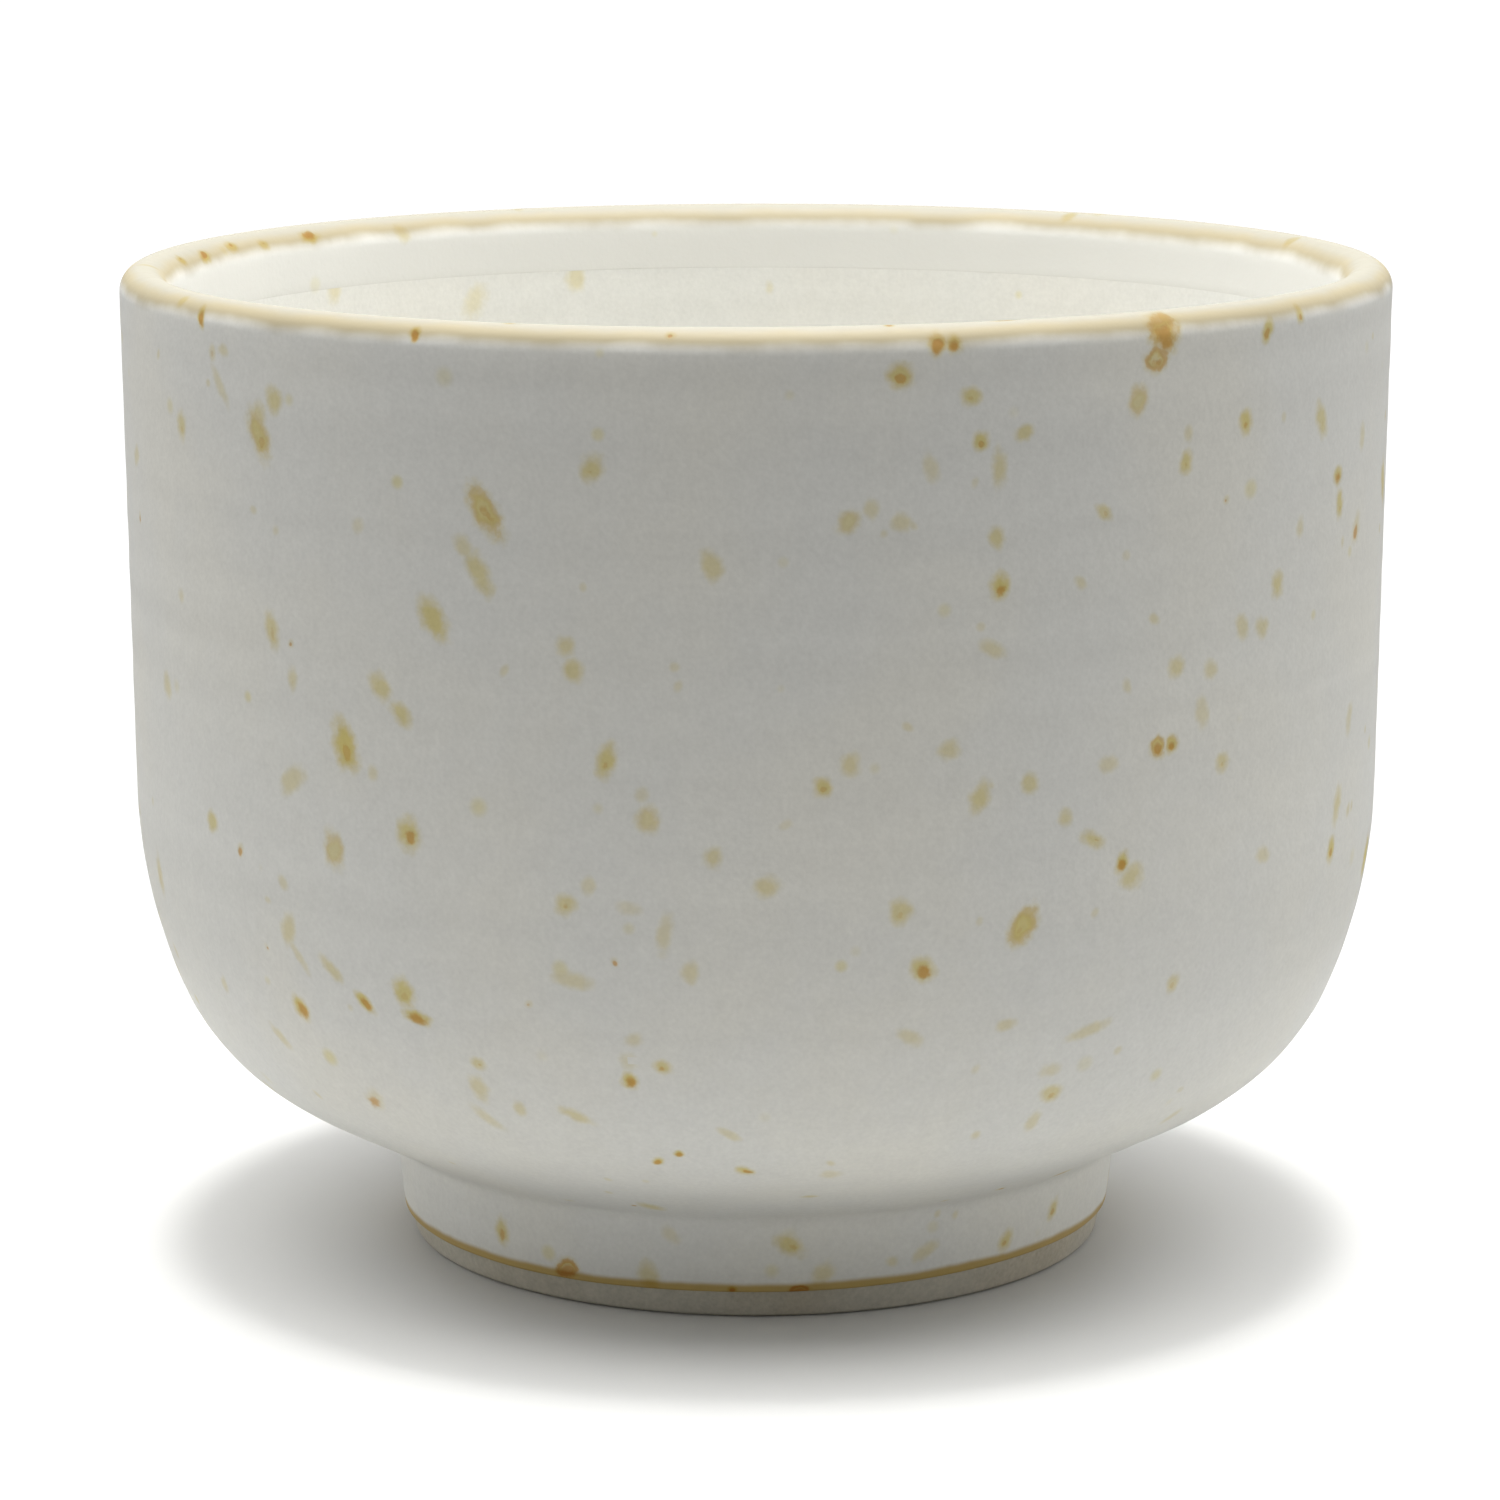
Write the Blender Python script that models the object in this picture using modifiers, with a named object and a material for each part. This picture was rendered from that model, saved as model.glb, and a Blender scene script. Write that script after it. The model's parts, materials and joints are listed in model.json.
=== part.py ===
# A straight-walled matcha bowl: thrown stoneware with a ring foot luted under
# it, an off-white glaze on the outside and over the lip, and a second coat
# poured inside. Each layer is its own closed solid.
#
# The bowl stands on its foot. The origin is the centre of the foot's contact
# face and +Z is up. Lengths are in metres, angles in radians.

import math

import bpy

MM = 0.001

# The outside, measured over the glaze
RIM_DIAMETER = 116.0 * MM
HEIGHT = 91.0 * MM
WALL_LEAN = math.radians(0.7)  # the wall opens slightly towards the rim
SHOULDER_RADIUS = 48.5 * MM  # the gentle bend under the straight wall
SHOULDER_TURN = math.radians(22.0)
BELLY_RADIUS = 20.0 * MM  # the tighter bend that tucks the bowl in
UNDERSIDE_SLOPE = math.radians(28.0)  # above the horizontal, down to the foot

# The foot
FOOT_DIAMETER = 68.0 * MM  # where the underside's line meets the foot's side
FOOT_HEIGHT = 9.5 * MM  # of that same corner above the table
FOOT_DRAFT = math.radians(6.5)  # the side runs inwards on its way down
FOOT_FILLET = 2.0 * MM  # glaze pooled in the corner above the foot
JOINT_DROP = 2.3 * MM  # the luted joint lies this far under that corner
RING_WIDTH = 5.0 * MM  # of the face that touches the table
RING_DRAFT = math.radians(8.0)  # the ring thickens upwards on its inner side
TOE_STEP = 0.4 * MM  # bare clay stands this far inside the end of the glaze
TOE_INSET = 0.6 * MM  # and narrows by this much down to the table

# The wall and the inside, measured over the glaze
WALL = 4.6 * MM
LIP_RADIUS = 2.1 * MM  # the outer rounding; the inner one takes what is left
FLOOR_THICKNESS = 6.0 * MM  # from the foot's corner up to the floor's centre
FLOOR_TURN = math.radians(14.0)  # how far the floor has risen where the heel starts
HEEL_RADIUS = 22.0 * MM  # the bend between floor and wall

# The glaze
GLAZE = 0.7 * MM
BOND_GAP = 0.3 * MM  # between two solids that are bonded in the real bowl
LIP_LAP = 4.0 * MM  # the outer coat laps this far down inside the lip
GLAZE_LINE = 2.5 * MM  # height at which the coat on the foot stops
WELL_GLAZE_LINE = 2.5 * MM  # the same inside the ring

# Facets
TURN_STEPS = 48
CHORD_ERROR = 0.06 * MM  # a facet lies at most this far off its arc

QUARTER = math.pi / 2
CLAY_DEPTH = GLAZE + BOND_GAP  # the clay lies this deep under the glazed surface
FLOOR_HEIGHT = FOOT_HEIGHT + FLOOR_THICKNESS
JOINT_HEIGHT = FOOT_HEIGHT - JOINT_DROP


def arc_move(radius, start, end):
    """The (x, z) step made by an arc between two headings.

    A heading is the angle of travel, anticlockwise from +X in the X-Z plane.
    """
    side = 1.0 if end > start else -1.0
    across = math.sin(end) - math.sin(start)
    up = math.cos(start) - math.cos(end)
    return (side * radius * across, side * radius * up)


def line_move(length, heading):
    return (length * math.cos(heading), length * math.sin(heading))


def shares(total, first, second):
    """How much of two fixed steps add up to a total one."""
    area = first[0] * second[1] - first[1] * second[0]
    of_first = (total[0] * second[1] - total[1] * second[0]) / area
    of_second = (first[0] * total[1] - first[1] * total[0]) / area
    return of_first, of_second


class Outline:
    """A line on the X-Z plane that keeps its heading at every point."""

    def __init__(self, x, z, heading):
        self.points = [(x, z, heading)]

    def line(self, length):
        x, z, heading = self.points[-1]
        dx, dz = line_move(length, heading)
        self.points.append((x + dx, z + dz, heading))
        return self

    def arc(self, radius, end):
        x, z, start = self.points[-1]
        widest = 2 * math.acos(1 - CHORD_ERROR / radius)
        steps = math.ceil(abs(end - start) / widest)
        for i in range(1, steps + 1):
            heading = start + (end - start) * i / steps
            dx, dz = arc_move(radius, start, heading)
            self.points.append((x + dx, z + dz, heading))
        return self

    def at_depth(self, depth):
        """The same line, moved to its right by depth: into the clay."""
        return [
            (x + depth * math.sin(heading), z - depth * math.cos(heading))
            for x, z, heading in self.points
        ]


def inside_outline():
    """The glazed inside, from the centre of the floor to the outer coat's lap."""
    wall_heading = QUARTER - WALL_LEAN
    heel_heading = wall_heading - SHOULDER_TURN
    bend = SHOULDER_RADIUS - WALL
    lip_inner = WALL - LIP_RADIUS
    top_x = RIM_DIAMETER / 2 - LIP_RADIUS - lip_inner * math.cos(WALL_LEAN)
    top_z = HEIGHT - lip_inner * (1 - math.sin(WALL_LEAN))
    heel = arc_move(HEEL_RADIUS, FLOOR_TURN, heel_heading)
    shoulder = arc_move(bend, heel_heading, wall_heading)
    floor_radius, wall_length = shares(
        (top_x - heel[0] - shoulder[0], top_z - FLOOR_HEIGHT - heel[1] - shoulder[1]),
        arc_move(1.0, 0.0, FLOOR_TURN),
        line_move(1.0, wall_heading),
    )
    outline = Outline(0.0, FLOOR_HEIGHT, 0.0)
    outline.arc(floor_radius, FLOOR_TURN)
    outline.arc(HEEL_RADIUS, heel_heading)
    outline.arc(bend, wall_heading)
    outline.line(wall_length - LIP_LAP - BOND_GAP)
    return outline


def outside_outline():
    """The glazed surface from the lap inside the lip, over it and down to the foot."""
    rising = QUARTER - WALL_LEAN
    falling = -QUARTER - WALL_LEAN
    belly_heading = falling - SHOULDER_TURN
    under_heading = -math.pi + UNDERSIDE_SLOPE
    foot_heading = -QUARTER - FOOT_DRAFT
    lip_inner = WALL - LIP_RADIUS
    crown_x = RIM_DIAMETER / 2 - LIP_RADIUS
    lip_x = crown_x - lip_inner * math.cos(WALL_LEAN)
    lip_z = HEIGHT - lip_inner * (1 - math.sin(WALL_LEAN))
    lap = line_move(-LIP_LAP, rising)

    lip = arc_move(LIP_RADIUS, 0.0, falling)
    shoulder = arc_move(SHOULDER_RADIUS, falling, belly_heading)
    belly = arc_move(BELLY_RADIUS, belly_heading, under_heading)
    wall_length, under_length = shares(
        (
            FOOT_DIAMETER / 2 - crown_x - lip[0] - shoulder[0] - belly[0],
            FOOT_HEIGHT - HEIGHT - lip[1] - shoulder[1] - belly[1],
        ),
        line_move(1.0, falling),
        line_move(1.0, under_heading),
    )
    tangent = FOOT_FILLET * math.tan((foot_heading - under_heading) / 2)
    side_length = (FOOT_HEIGHT - GLAZE_LINE) / math.cos(FOOT_DRAFT)

    outline = Outline(lip_x + lap[0], lip_z + lap[1], rising)
    outline.line(LIP_LAP)
    outline.arc(lip_inner, 0.0)
    outline.arc(LIP_RADIUS, falling)
    outline.line(wall_length)
    outline.arc(SHOULDER_RADIUS, belly_heading)
    outline.arc(BELLY_RADIUS, under_heading)
    outline.line(under_length - tangent)
    outline.arc(FOOT_FILLET, foot_heading)
    outline.line(side_length - tangent)
    return outline


def foot_side(height, depth):
    """Radius of the foot's side at a height, this deep under the glazed surface."""
    glazed = FOOT_DIAMETER / 2 - (FOOT_HEIGHT - height) * math.tan(FOOT_DRAFT)
    return glazed - depth / math.cos(FOOT_DRAFT)


def contact_radius():
    return foot_side(GLAZE_LINE, TOE_STEP) - TOE_INSET


def well_side(height, clearance):
    """Radius of the well inside the ring at a height, this far off the clay."""
    clay = contact_radius() - RING_WIDTH - height * math.tan(RING_DRAFT)
    return clay - clearance / math.cos(RING_DRAFT)


def clay_body_points(inside, outside):
    """The thrown bowl: the inside, the lip, the outside and the base over the foot."""
    up = inside.at_depth(CLAY_DEPTH)[:-1]
    down = outside.at_depth(CLAY_DEPTH)[1:-1]
    base = [(foot_side(JOINT_HEIGHT, CLAY_DEPTH), JOINT_HEIGHT), (0.0, JOINT_HEIGHT)]
    return up + down + base


def foot_ring_points():
    """The ring foot: glazed side, bare toe, contact face and the well's side."""
    top = JOINT_HEIGHT - BOND_GAP
    toe = GLAZE_LINE - BOND_GAP
    contact = contact_radius()
    return [
        (foot_side(top, CLAY_DEPTH), top),
        (foot_side(toe, CLAY_DEPTH), toe),
        (foot_side(toe, TOE_STEP), toe),
        (contact, 0.0),
        (contact - RING_WIDTH, 0.0),
        (well_side(top, 0.0), top),
    ]


def well_glaze_points():
    """The coat under the bowl: a disc on the base with a skirt down the ring."""
    top = JOINT_HEIGHT - BOND_GAP
    under = top - GLAZE
    return [
        (0.0, top),
        (well_side(top, BOND_GAP), top),
        (well_side(WELL_GLAZE_LINE, BOND_GAP), WELL_GLAZE_LINE),
        (well_side(WELL_GLAZE_LINE, CLAY_DEPTH), WELL_GLAZE_LINE),
        (well_side(under, CLAY_DEPTH), under),
        (0.0, under),
    ]


def coat_points(outline):
    """A coat of glaze on an outline: its surface, then its back."""
    return outline.at_depth(0.0) + outline.at_depth(GLAZE)[::-1]


def finish(name, colour, roughness):
    material = bpy.data.materials.new(name)
    material.use_nodes = True
    shader = material.node_tree.nodes["Principled BSDF"]
    shader.inputs["Base Color"].default_value = (*colour, 1.0)
    shader.inputs["Roughness"].default_value = roughness
    shader.inputs["Metallic"].default_value = 0.0
    return material


def turned(name, points, material, collection):
    """A solid of revolution about +Z from a profile on the X-Z plane.

    A profile that starts and ends on the axis is left open there.
    """
    on_axis = points[0][0] == 0.0 and points[-1][0] == 0.0
    count = len(points)
    edges = [(i, i + 1) for i in range(count - 1)]
    if not on_axis:
        edges.append((count - 1, 0))
    mesh = bpy.data.meshes.new(name)
    mesh.from_pydata([(x, 0.0, z) for x, z in points], edges, [])
    mesh.materials.append(material)
    piece = bpy.data.objects.new(name, mesh)
    collection.objects.link(piece)
    screw = piece.modifiers.new("Turn", "SCREW")
    screw.axis = "Z"
    screw.angle = 2 * math.pi
    screw.steps = TURN_STEPS
    screw.render_steps = TURN_STEPS
    screw.use_merge_vertices = True
    screw.merge_threshold = 0.00001
    screw.use_smooth_shade = True
    return piece


def clear_scene():
    for item in list(bpy.data.objects):
        bpy.data.objects.remove(item, do_unlink=True)


def build():
    clear_scene()
    bowl = bpy.data.collections.new("matcha_bowl")
    bpy.context.scene.collection.children.link(bowl)

    stoneware = finish("bare_stoneware", (0.420, 0.380, 0.300), 0.85)
    outer_coat = finish("outer_glaze", (0.560, 0.530, 0.470), 0.42)
    inner_coat = finish("inner_glaze", (0.620, 0.600, 0.550), 0.38)
    well_coat = finish("well_glaze", (0.540, 0.500, 0.430), 0.48)

    inside = inside_outline()
    outside = outside_outline()
    turned("clay_body", clay_body_points(inside, outside), stoneware, bowl)
    turned("foot_ring", foot_ring_points(), stoneware, bowl)
    turned("outer_glaze", coat_points(outside), outer_coat, bowl)
    turned("inner_glaze", coat_points(inside), inner_coat, bowl)
    turned("well_glaze", well_glaze_points(), well_coat, bowl)


build()
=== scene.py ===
import json
import math
import random

import bmesh
import bpy
import numpy as np
from mathutils import Matrix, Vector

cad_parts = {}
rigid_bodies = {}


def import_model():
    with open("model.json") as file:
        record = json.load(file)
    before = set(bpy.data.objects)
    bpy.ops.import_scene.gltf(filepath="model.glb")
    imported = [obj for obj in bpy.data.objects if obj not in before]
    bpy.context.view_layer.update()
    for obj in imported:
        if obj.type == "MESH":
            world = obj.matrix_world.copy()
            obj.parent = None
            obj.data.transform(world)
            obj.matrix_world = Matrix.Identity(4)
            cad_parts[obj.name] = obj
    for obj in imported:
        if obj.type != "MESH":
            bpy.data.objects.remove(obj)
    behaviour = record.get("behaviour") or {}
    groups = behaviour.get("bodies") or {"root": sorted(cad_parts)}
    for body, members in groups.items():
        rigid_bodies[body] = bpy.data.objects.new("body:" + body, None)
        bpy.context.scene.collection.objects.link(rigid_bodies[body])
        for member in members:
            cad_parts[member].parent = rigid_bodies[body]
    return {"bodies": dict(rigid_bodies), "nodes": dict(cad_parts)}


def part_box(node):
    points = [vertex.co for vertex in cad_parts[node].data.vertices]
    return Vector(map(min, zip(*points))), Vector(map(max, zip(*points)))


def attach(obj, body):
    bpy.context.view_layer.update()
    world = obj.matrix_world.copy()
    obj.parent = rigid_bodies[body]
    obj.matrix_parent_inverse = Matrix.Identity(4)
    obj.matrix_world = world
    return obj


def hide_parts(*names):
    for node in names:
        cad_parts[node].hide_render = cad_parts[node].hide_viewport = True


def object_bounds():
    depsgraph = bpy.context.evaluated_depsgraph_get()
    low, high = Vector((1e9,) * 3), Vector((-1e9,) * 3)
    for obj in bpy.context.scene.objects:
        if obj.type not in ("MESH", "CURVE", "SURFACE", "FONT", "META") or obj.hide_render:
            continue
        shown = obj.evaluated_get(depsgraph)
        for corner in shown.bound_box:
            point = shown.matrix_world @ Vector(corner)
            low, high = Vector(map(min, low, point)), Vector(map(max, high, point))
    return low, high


# A matcha bowl in satin off-white glaze with iron specks. The clay and its coats of glaze are
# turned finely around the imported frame, and each speck is laid where it sits on the surface.
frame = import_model()
cadLow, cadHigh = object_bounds()
body = next(iter(frame["bodies"]))
mm = 0.001
quarter = math.pi / 2
print("frame loaded:", ", ".join(sorted(frame["nodes"])), "on body", body)

# The bowl's outline, measured over the glaze
bowl = {
    "rim": cadHigh.x,
    "height": cadHigh.z,
    "wallLean": math.radians(0.7),
    "shoulderRadius": 48.5 * mm,
    "shoulderTurn": math.radians(22.0),
    "bellyRadius": 20.0 * mm,
    "undersideSlope": math.radians(28.0),
    "wall": 4.6 * mm,
    "lipRadius": 2.1 * mm,
    "floor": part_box("inner_glaze")[0].z + 0.7 * mm,
    "floorTurn": math.radians(14.0),
    "heelRadius": 22.0 * mm,
}

# How glaze lies on the clay
glaze = {
    "thickness": 0.7 * mm,
    "edge": 0.28 * mm,  # radius it rolls over with where it ends
    "seat": 0.72 * mm,  # depth of the clay under it
    "lap": 4.0 * mm,  # the outer coat runs this far down inside the lip
    "lapStep": 0.015 * mm,  # and stands this proud of the inner coat there
    "lapSlope": 12.0 * mm,  # the inner coat sinks to that step over this length
    "underLap": 1.2 * mm,  # and runs on this far behind the outer coat
}

# The ring foot, from the corner where it meets the bowl down to the table
foot = {
    "radius": 34.0 * mm,
    "height": 9.5 * mm,
    "draft": math.radians(6.5),
    "fillet": 2.0 * mm,
    "joint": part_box("clay_body")[0].z,
    "top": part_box("foot_ring")[1].z,
    "glazeLine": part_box("outer_glaze")[0].z,
    "toeStep": 0.4 * mm,  # bare clay stands this far inside the end of the glaze
    "toeInset": 0.6 * mm,
    "toeRounding": 0.55 * mm,
    "ringWidth": 5.0 * mm,
    "ringDraft": math.radians(8.0),
    "jointRounding": 0.3 * mm,  # the corner of the bowl's clay at the joint
    "jointMargin": 0.4 * mm,
    "topRounding": 0.2 * mm,  # the ring's corners at the joint
    "tuck": 0.6 * mm,  # height of the slope from the toe in under the glaze
    "tuckRounding": 0.1 * mm,
    "stepRounding": 0.12 * mm,
    "wellGap": 0.02 * mm,  # between the ring and the coat brushed inside it
}

xAt, zAt, headingAt, dropAt, skinAt = range(5)  # the columns of a piece's rows


def arcStep(radius, start, end):
    side = 1.0 if end > start else -1.0
    across = math.sin(end) - math.sin(start)
    up = math.cos(start) - math.cos(end)
    return np.array((side * radius * across, side * radius * up))


def lineStep(length, heading):
    return length * np.array((math.cos(heading), math.sin(heading)))


def shares(total, first, second):  # how much of each of two steps makes up the total
    return np.linalg.solve(np.column_stack((first, second)), total)


class Outline:
    # A line in the X-Z plane. A point is x, z and the heading there; air lies to its left.
    def __init__(self, x, z, heading, spacing=0.7 * mm, sharpest=7.5):
        self.points = [(x, z, heading)]
        self.spacing = spacing
        self.sharpest = math.radians(sharpest)

    def line(self, length):
        x, z, heading = self.points[-1]
        steps = max(1, round(length / self.spacing))
        for i in range(1, steps + 1):
            dx, dz = lineStep(length * i / steps, heading)
            self.points.append((x + dx, z + dz, heading))
        return self

    def arc(self, radius, end):
        x, z, start = self.points[-1]
        turned = abs(end - start)
        steps = math.ceil(max(turned * radius / self.spacing, turned / self.sharpest))
        for i in range(1, steps + 1):
            heading = start + (end - start) * i / steps
            dx, dz = arcStep(radius, start, heading)
            self.points.append((x + dx, z + dz, heading))
        return self

    def rows(self, depth=0.0):
        x, z, heading = np.array(self.points).T
        return np.column_stack((x + depth * np.sin(heading), z - depth * np.cos(heading), heading))


def insideOutline(**fineness):  # from the centre of the floor up to the outer coat's lap
    upright = quarter - bowl["wallLean"]
    heelHeading = upright - bowl["shoulderTurn"]
    bend = bowl["shoulderRadius"] - bowl["wall"]
    heel = arcStep(bowl["heelRadius"], bowl["floorTurn"], heelHeading)
    rise = lipFoot() - (0.0, bowl["floor"]) - heel
    floorRadius, wallLength = shares(
        rise - arcStep(bend, heelHeading, upright),
        arcStep(1.0, 0.0, bowl["floorTurn"]),
        lineStep(1.0, upright),
    )
    outline = Outline(0.0, bowl["floor"], 0.0, **fineness)
    outline.arc(floorRadius, bowl["floorTurn"])
    outline.arc(bowl["heelRadius"], heelHeading)
    outline.arc(bend, upright)
    outline.line(wallLength - glaze["lap"])
    return outline


def outsideOutline(**fineness):  # from the lap, over the lip and down to the foot's glaze line
    upright = quarter - bowl["wallLean"]
    falling = -quarter - bowl["wallLean"]
    bellyHeading = falling - bowl["shoulderTurn"]
    underHeading = -math.pi + bowl["undersideSlope"]
    footHeading = -quarter - foot["draft"]
    crown = (bowl["rim"] - bowl["lipRadius"], bowl["height"])
    fall = np.array((foot["radius"], foot["height"])) - crown
    fall = fall - arcStep(bowl["lipRadius"], 0.0, falling)
    fall = fall - arcStep(bowl["shoulderRadius"], falling, bellyHeading)
    fall = fall - arcStep(bowl["bellyRadius"], bellyHeading, underHeading)
    wallLength, underLength = shares(fall, lineStep(1.0, falling), lineStep(1.0, underHeading))
    tangent = foot["fillet"] * math.tan((footHeading - underHeading) / 2)
    side = (foot["height"] - foot["glazeLine"]) / math.cos(foot["draft"])
    x, z = lipFoot() + lineStep(glaze["edge"] - glaze["lap"], upright)
    outline = Outline(x, z, upright, **fineness)
    outline.line(glaze["lap"] - glaze["edge"])
    outline.arc(bowl["wall"] - bowl["lipRadius"], 0.0)
    outline.arc(bowl["lipRadius"], falling)
    outline.line(wallLength)
    outline.arc(bowl["shoulderRadius"], bellyHeading)
    outline.arc(bowl["bellyRadius"], underHeading)
    outline.line(underLength - tangent)
    outline.arc(foot["fillet"], footHeading)
    outline.line(side - tangent - glaze["edge"])
    return outline


def lipFoot():  # where the straight inside wall meets the rounding of the lip
    rounding = bowl["wall"] - bowl["lipRadius"]
    x = bowl["rim"] - bowl["lipRadius"] - rounding * math.cos(bowl["wallLean"])
    z = bowl["height"] - rounding * (1 - math.sin(bowl["wallLean"]))
    return np.array((x, z))


def footSide(height, depth):
    glazed = foot["radius"] - (foot["height"] - height) * math.tan(foot["draft"])
    return glazed - depth / math.cos(foot["draft"])


def wellSide(height, clearance):
    clay = contactRadius - foot["ringWidth"] - height * math.tan(foot["ringDraft"])
    return clay - clearance / math.cos(foot["ringDraft"])


contactRadius = footSide(foot["glazeLine"], foot["toeStep"]) - foot["toeInset"]
hiddenSide = {"spacing": 2.5 * mm, "sharpest": 15.0}


def skinRows(rows, skin, startDrop=0.0):
    # Adds how far each row lies along the surface, and 1 for skin or 0 where it doesn't show
    steps = np.hypot(*np.diff(rows[:, :2], axis=0).T)
    drop = startDrop + np.concatenate(((0.0,), np.cumsum(steps)))
    return np.column_stack((rows, drop, np.full(len(rows), skin)))


def turnedBack(rows):  # the same line walked the other way
    back = rows[::-1].copy()
    back[:, headingAt] -= math.pi
    return back


def unseen(rows):  # rows against the clay, which carry no marks or ridges
    return np.column_stack((rows, np.full(len(rows), -1.0), np.zeros(len(rows))))


def rolledEnd(rows):  # from the glazed surface round its rolled edge to its back
    x, z, heading = rows[-1, :3]
    edge = glaze["edge"]
    end = Outline(x, z, heading, sharpest=15.0)
    end.arc(edge, heading - quarter)
    end.line(glaze["thickness"] - 2 * edge)
    end.arc(edge, heading - 2 * quarter)
    return end.rows()[1:-1]


def socketOf(sockets, key):
    if isinstance(key, int):
        return sockets[key]
    return next(socket for socket in sockets if socket.name == key and socket.enabled)


def place(tree, kind, inputs=None, **settings):
    node = tree.nodes.new(kind)
    for key, value in settings.items():
        setattr(node, key, value)
    for key, value in (inputs or {}).items():
        socket = socketOf(node.inputs, key)
        if isinstance(value, bpy.types.NodeSocket):
            tree.links.new(value, socket)
        else:
            socket.default_value = value
    return node


def calc(tree, operation, *values):
    return place(tree, "ShaderNodeMath", dict(enumerate(values)), operation=operation).outputs[0]


def span(tree, value, low, high, toLow=0.0, toHigh=1.0):
    ends = {"Value": value, "From Min": low, "From Max": high, "To Min": toLow, "To Max": toHigh}
    node = place(tree, "ShaderNodeMapRange", ends, interpolation_type="SMOOTHSTEP")
    return node.outputs["Result"]


def noiseOf(tree, vector, scale, detail=2.0):
    values = {"Vector": vector, "Scale": scale, "Detail": detail}
    return place(tree, "ShaderNodeTexNoise", values).outputs[0]


def signedNoise(tree, vector, scale, detail=2.0):  # -1 to 1
    return calc(tree, "MULTIPLY_ADD", noiseOf(tree, vector, scale, detail), 2.0, -1.0)


def turnedShellTree():
    # Turns a profile into a closed shell with the small unevenness of a thrown pot
    stillMiddle = 8 * mm  # sway and ridges fade out towards the axis
    waveZone = (7 * mm, 3 * mm)  # the glaze line's wave fades in down the foot
    tree = bpy.data.node_groups.new("turned shell", "GeometryNodeTree")
    tree.is_modifier = True
    sockets = tree.interface
    sockets.new_socket("Profile", in_out="INPUT", socket_type="NodeSocketGeometry")
    sockets.new_socket("Turn Steps", in_out="INPUT", socket_type="NodeSocketInt")
    for name in ("Sway", "Ring Depth", "Ring Pitch", "Rim Tilt", "Line Wave", "Rim", "Height", "Seed"):
        sockets.new_socket(name, in_out="INPUT", socket_type="NodeSocketFloat")
    sockets.new_socket("Finish", in_out="INPUT", socket_type="NodeSocketMaterial")
    sockets.new_socket("Shell", in_out="OUTPUT", socket_type="NodeSocketGeometry")
    given = tree.nodes.new("NodeGroupInput").outputs

    def whole(operation, first, second):
        node = place(tree, "FunctionNodeIntegerMath", {0: first, 1: second}, operation=operation)
        return node.outputs[0]

    size = place(tree, "GeometryNodeAttributeDomainSize", {"Geometry": given["Profile"]})
    rows = size.outputs["Point Count"]
    columns = whole("ADD", given["Turn Steps"], 1)
    grid = place(tree, "GeometryNodeMeshGrid", {"Vertices X": columns, "Vertices Y": rows})
    index = place(tree, "GeometryNodeInputIndex").outputs[0]
    row = whole("MODULO", index, rows)
    turned = calc(tree, "DIVIDE", whole("DIVIDE_FLOOR", index, rows), given["Turn Steps"])
    angle = calc(tree, "MULTIPLY_ADD", turned, 2 * math.pi, quarter)  # the seam is at the back
    cosine = calc(tree, "COSINE", angle)
    sine = calc(tree, "SINE", angle)

    def fromProfile(value, dataType):
        node = place(tree, "GeometryNodeSampleIndex", data_type=dataType, domain="POINT")
        tree.links.new(given["Profile"], node.inputs["Geometry"])
        tree.links.new(value, socketOf(node.inputs, "Value"))
        tree.links.new(row, node.inputs["Index"])
        return socketOf(node.outputs, "Value")

    def named(name, dataType):
        node = place(tree, "GeometryNodeInputNamedAttribute", {"Name": name}, data_type=dataType)
        return fromProfile(socketOf(node.outputs, "Attribute"), dataType)

    position = place(tree, "GeometryNodeInputPosition").outputs[0]
    point = place(tree, "ShaderNodeSeparateXYZ", {0: fromProfile(position, "FLOAT_VECTOR")}).outputs
    facing = place(tree, "ShaderNodeSeparateXYZ", {0: named("facing", "FLOAT_VECTOR")}).outputs
    drop = named("drop", "FLOAT")
    skin = named("skin", "FLOAT")

    def roundNoise(reach, lift, scale, shift):
        # Without a step at the seam. A wider reach gives more waves round the pot, and each
        # shift another pattern.
        x = calc(tree, "MULTIPLY_ADD", cosine, reach, given["Seed"])
        y = calc(tree, "MULTIPLY_ADD", sine, reach, shift)
        vector = place(tree, "ShaderNodeCombineXYZ", {0: x, 1: y, 2: lift}).outputs[0]
        return signedNoise(tree, vector, scale)

    level = calc(tree, "DIVIDE", point["Z"], given["Height"])
    offAxis = span(tree, point["X"], 0.0, stillMiddle)
    sway = calc(tree, "MULTIPLY", roundNoise(0.8, level, 1.0, 1.3), given["Sway"])
    sway = calc(tree, "MULTIPLY", calc(tree, "MULTIPLY", sway, offAxis), level)

    pitch = calc(tree, "DIVIDE", drop, given["Ring Pitch"])
    phase = calc(tree, "ADD", pitch, turned)  # the ridges climb like a thread
    phase = calc(tree, "MULTIPLY_ADD", roundNoise(0.7, pitch, 0.35, 5.1), 0.9, phase)
    ridge = calc(tree, "SINE", calc(tree, "MULTIPLY", phase, 2 * math.pi))
    strength = span(tree, roundNoise(0.9, pitch, 0.5, 9.4), -0.3, 0.5, 0.25, 1.0)
    ridge = calc(tree, "MULTIPLY", calc(tree, "MULTIPLY", ridge, strength), given["Ring Depth"])
    ridge = calc(tree, "MULTIPLY", calc(tree, "MULTIPLY", ridge, skin), offAxis)

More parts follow.
